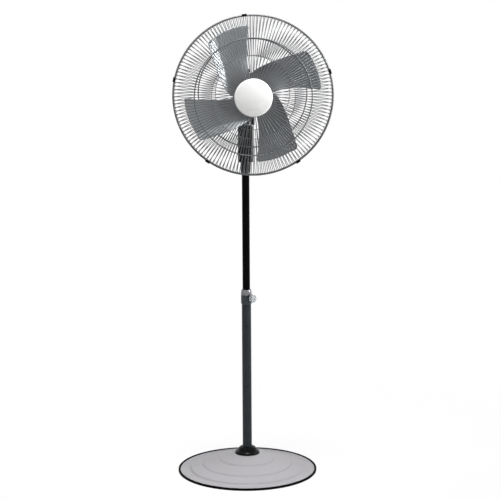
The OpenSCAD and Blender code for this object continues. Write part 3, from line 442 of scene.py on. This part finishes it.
lamps = [
    lamp("side", (3.2, -0.45, 1.9), aim_z=1.35, size=(1.4, 1.4), watts=14, spread=40),
    lamp("top", (0, -0.6, 3.5), aim_z=1.3, size=(1.0, 0.8), watts=11.5, spread=60),
    lamp("overhead", (0, 1.3, 4.6), aim_z=0.2, size=(2.4, 2.0), watts=50),
    lamp("front_right", (1.8, -3.4, 3.2), aim_z=0.7, size=(0.8, 0.8), watts=18),
    lamp("front_left", (-2.2, -3.6, 2.4), aim_z=0.7, size=(0.8, 0.8), watts=15),
]
print("lamps:", [obj.name for obj in lamps])

# %% [markdown]
# Rebuilt pieces are made where the frame has them. The head's pieces turn about the motor shaft,
# so they are easiest to draw round a local Z axis that points out of the front of the fan, and
# are then stood in place by one matrix. It moves the mesh, and the object stays at the origin.

# %% Piece helpers
ON_SHAFT = Matrix.Translation((SHAFT_X, 0, SHAFT_Z)) @ Matrix.Rotation(math.pi / 2, 4, "X")


def piece(name, verts, faces, mat, place=Matrix.Identity(4), smooth=True):
    data = bpy.data.meshes.new(name)
    data.from_pydata([tuple(v) for v in verts], [], faces)
    data.transform(place)
    data.materials.append(FINISH[mat])
    if smooth:
        data.shade_smooth()
    return show(name, data)


def tidy_mesh(obj, merge=0.001 * MM):
    shape = bmesh.new()
    shape.from_mesh(obj.data)
    bmesh.ops.remove_doubles(shape, verts=shape.verts, dist=merge)
    bmesh.ops.recalc_face_normals(shape, faces=shape.faces)
    shape.to_mesh(obj.data)
    shape.free()
    return obj


print("shaft at", (SHAFT_X, SHAFT_Z))

# %% [markdown]
# Modifiers, text and node trees stay live until something asks for their result. The dependency
# graph works it out, and a plain mesh is made from it. What belongs to one piece is then joined,
# so that a guard half with all its wires is a single mesh.

# %% Helpers for finished meshes
def as_mesh(obj):
    graph = bpy.context.evaluated_depsgraph_get()
    return bpy.data.meshes.new_from_object(obj.evaluated_get(graph))


def apply_modifiers(obj):
    baked = as_mesh(obj)
    obj.modifiers.clear()
    old, obj.data = obj.data, baked
    bpy.data.meshes.remove(old)
    return obj


def join(name, objs, mat):
    shape = bmesh.new()
    for obj in objs:
        shape.from_mesh(obj.data)
    for face in shape.faces:
        face.material_index = 0
    data = bpy.data.meshes.new(name)
    shape.to_mesh(data)
    shape.free()
    data.materials.append(FINISH[mat])
    for obj in objs:
        bpy.data.objects.remove(obj)
    return show(name, data)


print("mesh helpers ready")

# %% [markdown]
# Round sheet parts, such as the base and the guard's centre plates, are turned shapes. A lathe
# needs only half of their section, a closed outline of radius and height, and carries it round
# the Z axis. Screw is Blender's modifier for this, but a loop keeps the faces in a known order.

# %% Lathe
def lathe(name, outline, mat, around, smooth=True):
    n = len(outline)
    verts, faces = [], []
    for i in range(around):
        a = math.tau * i / around
        verts += [(r * math.cos(a) * MM, r * math.sin(a) * MM, z * MM) for r, z in outline]
        j = (i + 1) % around
        for k in range(n):
            m = (k + 1) % n
            faces.append((i * n + k, j * n + k, j * n + m, i * n + m))
    return tidy_mesh(piece(name, verts, faces, mat, smooth=smooth))


print("lathe ready")

# %% [markdown]
# Geometry Nodes make what repeats. The helpers here start a tree with named inputs, and run it on
# an object: each input is set by its socket's identifier, the result becomes a plain mesh, and
# the modifier goes.

# %% Geometry Nodes helpers
def new_tree(name, inputs):
    tree = bpy.data.node_groups.new(name, "GeometryNodeTree")
    tree.interface.new_socket(name="Geometry", in_out="INPUT", socket_type="NodeSocketGeometry")
    for label, kind, value in inputs:
        socket = tree.interface.new_socket(name=label, in_out="INPUT", socket_type=kind)
        if value is not None:
            socket.default_value = value
    tree.interface.new_socket(name="Geometry", in_out="OUTPUT", socket_type="NodeSocketGeometry")
    return tree, tree.nodes.new("NodeGroupInput"), tree.nodes.new("NodeGroupOutput")


def run_tree(obj, tree, **values):
    ids = {s.name: s.identifier for s in tree.interface.items_tree if s.in_out == "INPUT"}
    mod = obj.modifiers.new(tree.name, "NODES")
    mod.node_group = tree
    for name, value in values.items():
        mod[ids[name.replace("_", " ")]] = value
    return apply_modifiers(obj)


def close_tree(tree, gin, gout, geometry):
    real = add(tree, "GeometryNodeRealizeInstances", Geometry=geometry)
    smooth = add(tree, "GeometryNodeSetShadeSmooth", Geometry=real.outputs[0])
    dressed = add(tree, "GeometryNodeSetMaterial", Geometry=smooth.outputs[0],
                  Material=gin.outputs["Material"])
    fill(tree, gout, Geometry=dressed.outputs[0])
    return tree


print("tree helpers ready")

# %% [markdown]
# A guard half is one bent wire, repeated round the shaft. The wire is drawn as a thin path; the
# tree gives it a round section and sets copies of it round the axis by an angle step. Modelling
# all the wires by hand would give the same shape with nothing left to adjust.

# %% Tree: wires round an axis
def wires_tree():
    tree, gin, gout = new_tree("wires_round_axis", [
        ("Count", "NodeSocketInt", 68), ("Wire Radius", "NodeSocketFloat", 1.3 * MM),
        ("Sides", "NodeSocketInt", 6), ("Turn", "NodeSocketFloat", 0.0),
        ("Material", "NodeSocketMaterial", None)])
    path = add(tree, "GeometryNodeMeshToCurve", Mesh=gin.outputs["Geometry"])
    section = add(tree, "GeometryNodeCurvePrimitiveCircle", Resolution=gin.outputs["Sides"],
                  Radius=gin.outputs["Wire Radius"])
    wire = add(tree, "GeometryNodeCurveToMesh", Curve=path.outputs[0],
               Profile_Curve=section.outputs[0], Fill_Caps=True)
    spots = add(tree, "GeometryNodePoints", Count=gin.outputs["Count"])
    index = tree.nodes.new("GeometryNodeInputIndex")
    step = maths(tree, "DIVIDE", math.tau, gin.outputs["Count"])
    angle = maths(tree, "MULTIPLY_ADD", index.outputs[0], step.outputs[0], gin.outputs["Turn"])
    about = add(tree, "FunctionNodeAxisAngleToRotation", Axis=(0, 0, 1), Angle=angle.outputs[0])
    copies = add(tree, "GeometryNodeInstanceOnPoints", Points=spots.outputs[0],
                 Instance=wire.outputs[0], Rotation=about.outputs[0])
    return close_tree(tree, gin, gout, copies.outputs[0])


WIRES = wires_tree()
print("tree:", WIRES.name)

# %% [markdown]
# The rim and the two rings that tie the wires together are hoops of round wire, each with its own
# thickness. Their tree needs no input mesh: it draws a circle at a height, and gives it a section.

# %% Tree: hoop
def hoop_tree():
    tree, gin, gout = new_tree("hoop", [
        ("Radius", "NodeSocketFloat", 200 * MM), ("Height", "NodeSocketFloat", 0.0),
        ("Wire Radius", "NodeSocketFloat", 2 * MM), ("Around", "NodeSocketInt", 160),
        ("Sides", "NodeSocketInt", 12), ("Material", "NodeSocketMaterial", None)])
    path = add(tree, "GeometryNodeCurvePrimitiveCircle", Resolution=gin.outputs["Around"],
               Radius=gin.outputs["Radius"])
    lift = add(tree, "ShaderNodeCombineXYZ", Z=gin.outputs["Height"])
    moved = add(tree, "GeometryNodeTransform", Geometry=path.outputs[0],
                Translation=lift.outputs[0])
    section = add(tree, "GeometryNodeCurvePrimitiveCircle", Resolution=gin.outputs["Sides"],
                  Radius=gin.outputs["Wire Radius"])
    ring = add(tree, "GeometryNodeCurveToMesh", Curve=moved.outputs[0],
               Profile_Curve=section.outputs[0])
    return close_tree(tree, gin, gout, ring.outputs[0])


HOOP = hoop_tree()
print("tree:", HOOP.name)

# %% [markdown]
# Both guard halves follow the same rule: straight off the rim, a bend, then a shallow dome that
# ends on the centre plate. Four sizes describe such a path: the straight lead, the radius and
# angle of the bend, and the radius where the wire ends. The dome's own radius follows, because
# it has to leave the bend smoothly and be level where it ends. The wires and the rims start just
# clear of the plane where the two halves meet.

# %% The guard's wire path
GUARD_D, RIM_D, WIRE_D, WELD = 525.0, 6.0, 2.6, 0.4
OUTER_D, INNER_D, PLATE_T = 4.0, 1.6, 1.5
WIRES_EACH, PATH_STEPS = 68, 5
FIRST_Z, RIM_GAP = 0.3, 0.15
START_R = GUARD_D / 2 - RIM_D - WIRE_D / 2 + WELD
FRONT = dict(lead=1.0, bend_r=26.0, bend_a=math.radians(66), end_r=50.0,
             outer_r=190.0, inner_r=135.0, plate_r=(0.01, 56.0))
REAR = dict(lead=22.0, bend_r=45.0, bend_a=math.radians(76), end_r=60.0,
            outer_r=178.6, inner_r=122.0, plate_r=(28.0, 66.0))


def dome_r(half):
    inner = START_R - half["bend_r"] * (1 - math.cos(half["bend_a"]))
    return (inner - half["end_r"]) / math.cos(half["bend_a"])


def crown(half):
    rise = half["bend_r"] * math.sin(half["bend_a"])
    return half["lead"] + rise + dome_r(half) * (1 - math.sin(half["bend_a"]))


def on_bend(half, a):
    out = half["bend_r"]
    return START_R - out * (1 - math.cos(a)), half["lead"] + out * math.sin(a)


def on_dome(half, a):
    out = dome_r(half)
    return half["end_r"] + out * math.cos(a), crown(half) - out * (1 - math.sin(a))


def dome_angle(half, r):
    return math.acos((r - half["end_r"]) / dome_r(half))


def wire_path(half, last_r):
    bend, last = half["bend_a"], dome_angle(half, last_r)
    shares = [i / PATH_STEPS for i in range(1, PATH_STEPS + 1)]
    points = [(START_R, FIRST_Z), (START_R, half["lead"])]
    points += [on_bend(half, bend * share) for share in shares]
    points += [on_dome(half, bend + (last - bend) * share) for share in shares]
    return [(r * MM, 0.0, z * MM) for r, z in points]


print("domes:", round(crown(FRONT), 1), round(crown(REAR), 1), "mm")

# %% [markdown]
# Every second wire stops at the inner ring, as on the real one, so that the middle doesn't clog.
# Each half therefore has as many short wires as long ones. The two sets, the rim and the two
# rings are separate runs of the trees, joined into one piece for each half. The flat centre
# plates are thin discs, like the welded plates they stand for.

# %% Guard half
SHORT_BY, RIM_AROUND, RIM_SIDES, WIRE_SIDES, PLATE_AROUND = 2, 160, 12, 6, 96


def path_object(points):
    data = bpy.data.meshes.new("path")
    data.from_pydata(points, [(i, i + 1) for i in range(len(points) - 1)], [])
    return show("path", data)


def dome_z(half, r):
    return on_dome(half, dome_angle(half, r))[1]


def guard_hoops(half):
    outer, inner = half["outer_r"], half["inner_r"]
    return [
        (GUARD_D / 2 - RIM_D / 2, RIM_D / 2 + RIM_GAP, RIM_D),
        (outer, dome_z(half, outer) + WIRE_D / 2 + OUTER_D / 2 - WELD, OUTER_D),
        (inner, dome_z(half, inner) - WIRE_D / 2 - INNER_D / 2 + WELD, INNER_D)]


def guard_half(name, half, turn, plate_top):
    mat = FINISH["guard_wire"]
    parts = []
    for last_r, shift in ((half["end_r"], 0.0), (half["inner_r"] - SHORT_BY, 0.5)):
        wires = path_object(wire_path(half, last_r))
        parts.append(run_tree(wires, WIRES, Count=WIRES_EACH, Wire_Radius=WIRE_D / 2 * MM,
                              Sides=WIRE_SIDES, Turn=turn + shift * math.tau / WIRES_EACH,
                              Material=mat))
    for r, z, d in guard_hoops(half):
        hoop = show("hoop", bpy.data.meshes.new("hoop"))
        parts.append(run_tree(hoop, HOOP, Radius=r * MM, Height=z * MM, Wire_Radius=d / 2 * MM,
                              Around=RIM_AROUND, Sides=RIM_SIDES, Material=mat))
    (r0, r1), z0, z1 = half["plate_r"], plate_top - PLATE_T, plate_top
    plate = [(r0, z0), (r1, z0), (r1, z1), (r0, z1)]
    parts.append(lathe("plate", plate, "guard_wire", PLATE_AROUND, smooth=False))
    return join(name, parts, "guard_wire")


print("wires in each half:", 2 * WIRES_EACH)

# %% [markdown]
# The rear half's plate is screwed to posts on the motor's front shell, which fixes where the
# guard's own plane lies. Seen from that plane both halves rise the same way, so the rear one is
# mirrored, and turned by half a step so that its wires show between the front ones.

# %% Build the guard halves
SHELL_FRONT, POST = 38, 5
GUARD_F = SHELL_FRONT + POST + PLATE_T + WIRE_D / 2 - WELD + crown(REAR)
FORWARD = ON_SHAFT @ Matrix.Translation((0, 0, GUARD_F * MM))
front_guard = guard_half("guard_front_wires", FRONT, 0.0, crown(FRONT) - WIRE_D / 2 + WELD)
rear_guard = guard_half("guard_rear_wires", REAR, 0.5 * math.tau / (2 * WIRES_EACH),
                        crown(REAR) + WIRE_D / 2 - WELD + PLATE_T)
front_guard.data.transform(FORWARD)
rear_guard.data.transform(FORWARD @ Matrix.Scale(-1, 4, (0, 0, 1)))
rear_guard.data.flip_normals()
for obj, node in ((front_guard, "front_guard"), (rear_guard, "rear_guard")):
    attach(obj, "head")
    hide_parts(node)
    print(obj.name, "faces:", len(obj.data.polygons))
print("guard plane ahead of the pole:", round(GUARD_F, 2), "mm")

# %% [markdown]
# Each blade is one pressed sheet. Its root lies flat on the hub's disc, then it twists up: the
# leading edge falls behind the disc, the trailing edge rises ahead of it, and a fold runs along
# the trailing edge and makes a narrow flap. The edges and the fold are rules, an angle for each
# radius, with the two outer corners cut back in an arc. They are the rules that shaped the
# frame's blades, and here they are sampled more finely.

# %% Blade edges
TIP_R, ROOT_R = 224.5, 46.0
LEAD_CORNER, TAIL_CORNER = 10, 9
LEAD_OUT, LEAD_BOW, LEAD_MID, LEAD_SPAN = 19.3, 9.3, 145, 80
TAIL_DEG, TAIL_SWEEP, TAIL_LIMIT = 14.85, 5714, 92
FOLD_DEG, FOLD_SWEEP, FLAP_MIN = 15.2, 4142, math.radians(1)


def cut_back(d, r):
    return r - math.sqrt(max(r * r - (r - d) ** 2, 0.0)) if d < r else 0.0


def lead_angle(r):
    beside = LEAD_OUT - LEAD_BOW * ((r - LEAD_MID) / LEAD_SPAN) ** 2
    return math.asin(beside / r) + cut_back(TIP_R - r, LEAD_CORNER) / r


def tail_angle(r):
    swept = math.radians(min(TAIL_DEG + TAIL_SWEEP / r, TAIL_LIMIT))
    return swept - cut_back(TIP_R - r, TAIL_CORNER) / r


def fold_angle(r):
    return min(math.radians(FOLD_DEG + FOLD_SWEEP / r), tail_angle(r) - FLAP_MIN)


print("blade's angle at the root:", round(math.degrees(tail_angle(ROOT_R) - lead_angle(ROOT_R))))

# %% [markdown]
# The height of the sheet comes from the same two directions. Across the blade it rises from the
# leading edge to the fold with a slight hollow, and faster in the flap. Along the radius it eases
# from the flat root to that full shape, as a press leaves it, without a crease between them.

# %% Blade surface
FLAT_R, FULL_R = 60.0, 140.0
RISE, FALL, FOLD, CAMBER = 26.0, 28.0, 3.0, 3.0
HUB_DISC_T, BLADE_T, BEHIND_GUARD = 3.0, 1.5, 25
ROTOR_F = GUARD_F - BEHIND_GUARD


def ease(t):
    t = min(max(t, 0.0), 1.0)
    return t * t * (3 - 2 * t)


def sheet_point(r, s):
    """s runs from 0 at the leading edge to 1 at the fold and 2 at the trailing edge."""
    if s <= 1:
        angle = lead_angle(r) + (fold_angle(r) - lead_angle(r)) * s
        rise = -FALL + (FOLD + FALL) * s - 4 * CAMBER * s * (1 - s)
    else:
        angle = fold_angle(r) + (tail_angle(r) - fold_angle(r)) * (s - 1)
        rise = FOLD + (RISE - FOLD) * (s - 1)
    root = (HUB_DISC_T + BLADE_T) / 2
    w = root + (rise - root) * ease((r - FLAT_R) / (FULL_R - FLAT_R))
    return Vector((r * math.cos(angle), r * math.sin(angle), w)) * MM


print("rotor plane ahead of the pole:", round(ROTOR_F, 2), "mm")

# %% [markdown]
# The sheet is a grid of points from those rules, with rows that crowd towards the tip so that the
# cut corners come out round. Solidify gives it its thickness and Bevel softens its edges, which
# is less work than building the second side and the rim by hand. Four blades stand round the
# hub, a quarter turn apart, and each replaces one blade of the frame.

# %% Build the blades
BLADES, ROW_STEPS, WEB_STEPS, FLAP_STEPS = 4, 26, 14, 5
TIP_ROWS = (0.8, 0.6, 0.4, 0.25, 0.13, 0.05, 0.015, 0.0)
EDGE_W, EDGE_STEPS, EDGE_ANGLE = 0.5, 2, math.radians(60)


def blade_sheet():
    last = TIP_R - TAIL_CORNER
    rows = [ROOT_R + (last - ROOT_R) * i / ROW_STEPS for i in range(ROW_STEPS + 1)]
    rows += [TIP_R - TAIL_CORNER * share for share in TIP_ROWS]
    cols = [i / WEB_STEPS for i in range(WEB_STEPS + 1)]
    cols += [1 + i / FLAP_STEPS for i in range(1, FLAP_STEPS + 1)]
    n = len(cols)
    faces = [(i * n + j, (i + 1) * n + j, (i + 1) * n + j + 1, i * n + j + 1)
             for i in range(len(rows) - 1) for j in range(n - 1)]
    return [sheet_point(r, s) for r in rows for s in cols], faces


def blade(k):
    turned = Matrix.Rotation(k * math.tau / BLADES, 4, "Z")
    place = ON_SHAFT @ Matrix.Translation((0, 0, ROTOR_F * MM)) @ turned
    obj = piece(f"fan_blade_{k + 1}", *blade_sheet(), "blade_metal", place)
    wall = obj.modifiers.new("wall", "SOLIDIFY")
    wall.thickness, wall.offset = BLADE_T * MM, 0.0
    edge = obj.modifiers.new("edge", "BEVEL")
    edge.width, edge.segments = EDGE_W * MM, EDGE_STEPS
    edge.limit_method, edge.angle_limit = "ANGLE", EDGE_ANGLE
    apply_modifiers(obj)
    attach(obj, "fan")
    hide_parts(f"blade_{k + 1}")
    return obj


fan_blades = [blade(k) for k in range(BLADES)]
print("blade faces:", len(fan_blades[0].data.polygons))

# %% [markdown]
# The base is one pressed sheet with three rolled steps, each placed by its share of the base's
# radius and of its height. The outline needs only the two ends of each step; a function then
# rounds every corner, which is what makes the steps catch the light.
# A rounding takes less than half of the line beside it, so that two of them never meet. The line
# starts a hair off the axis, where faces that share one point would shade badly. The underside
# is the same line, one sheet lower.

# %% Base outline
BASE_R, BASE_H, SHEET, ROUNDING = 237.5, 60.0, 1.6, 3.0
AXIS_R, SEAT_R, TRIM_W, TRIM_LIP, TRIM_Z = 0.05, 48, 7, 2.5, 4.8
RISER_W, RISER_H = 2, 2.5
RISERS = [(0.4, 0.7), (0.638, 0.392), (0.825, 0.183)]


def round_corners(points, radius, steps=5, most=0.45):
    out = [points[0]]
    for before, here, after in zip(points, points[1:], points[2:]):
        a, b, c = Vector(before), Vector(here), Vector(after)
        reach = min(radius, (a - b).length * most, (c - b).length * most)
        p, q = b + (a - b).normalized() * reach, b + (c - b).normalized() * reach
        for i in range(steps + 1):
            t = i / steps
            out.append(tuple(p * (1 - t) ** 2 + b * (2 * t * (1 - t)) + q * t * t))
    out.append(points[-1])
    return out


def base_line():
    line = [(AXIS_R, BASE_H), (SEAT_R, BASE_H)]
    for share, level in RISERS:
        r, z = share * BASE_R, level * BASE_H
        line += [(r - RISER_W, z + RISER_H), (r + RISER_W, z - RISER_H)]
    line += [(BASE_R - TRIM_W, TRIM_Z), (BASE_R - TRIM_LIP, TRIM_Z)]
    return round_corners(line, ROUNDING)


upper = base_line()
under = [(r, z - SHEET) for r, z in reversed(upper)]
print("points on the base's line:", len(upper))

# %% [markdown]
# The lathe turns that outline round the pole's axis, in steps fine enough for the rim to look
# round from close by.

# %% Build the base cover
BASE_AROUND = 160
base = lathe("base_pressing", upper + under, "silver_paint", BASE_AROUND)
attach(base, "base")
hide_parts("base_cover")
print("base faces:", len(base.data.polygons))

# %% [markdown]
# The speed switch has four settings. Their numbers are thin black shapes on the dial plate behind
# the knob, spread over the knob's half turn, with 0 at the top where its pointer rests. A text
# curve draws each figure and is made a mesh, which a matrix turns to face the rear.

# %% Dial numbers
SETTINGS, HALF_TURN = 4, math.pi
FIGURE_H, FIGURE_T, FIGURE_LIFT, FIGURE_IN = 5.0 * MM, 0.04 * MM, 0.05 * MM, 3 * MM
REARWARD = Matrix(((-1, 0, 0, 0), (0, 0, 1, 0), (0, 1, 0, 0), (0, 0, 0, 1)))


def digit(text, place):
    curve = bpy.data.curves.new("digit", "FONT")
    curve.body = text
    curve.size = FIGURE_H
    curve.extrude = FIGURE_T
    curve.align_x, curve.align_y = "CENTER", "CENTER"
    drawn = show("digit", curve)
    data = as_mesh(drawn)
    bpy.data.objects.remove(drawn)
    data.transform(place)
    return show("digit_mesh", data)


low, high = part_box("dial_plate")
dial = (low + high) / 2
band = (high.x - low.x) / 2 - FIGURE_IN
digits = []
for k in range(SETTINGS):
    turn = k * HALF_TURN / (SETTINGS - 1)
    spot = (dial.x - band * math.sin(turn), high.y + FIGURE_LIFT, dial.z + band * math.cos(turn))
    digits.append(digit(str(k), Matrix.Translation(spot) @ REARWARD))
marks = join("dial_numbers", digits, "black_matte")
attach(marks, "column")
print("dial numbers:", len(digits), "round", [round(v, 3) for v in dial])
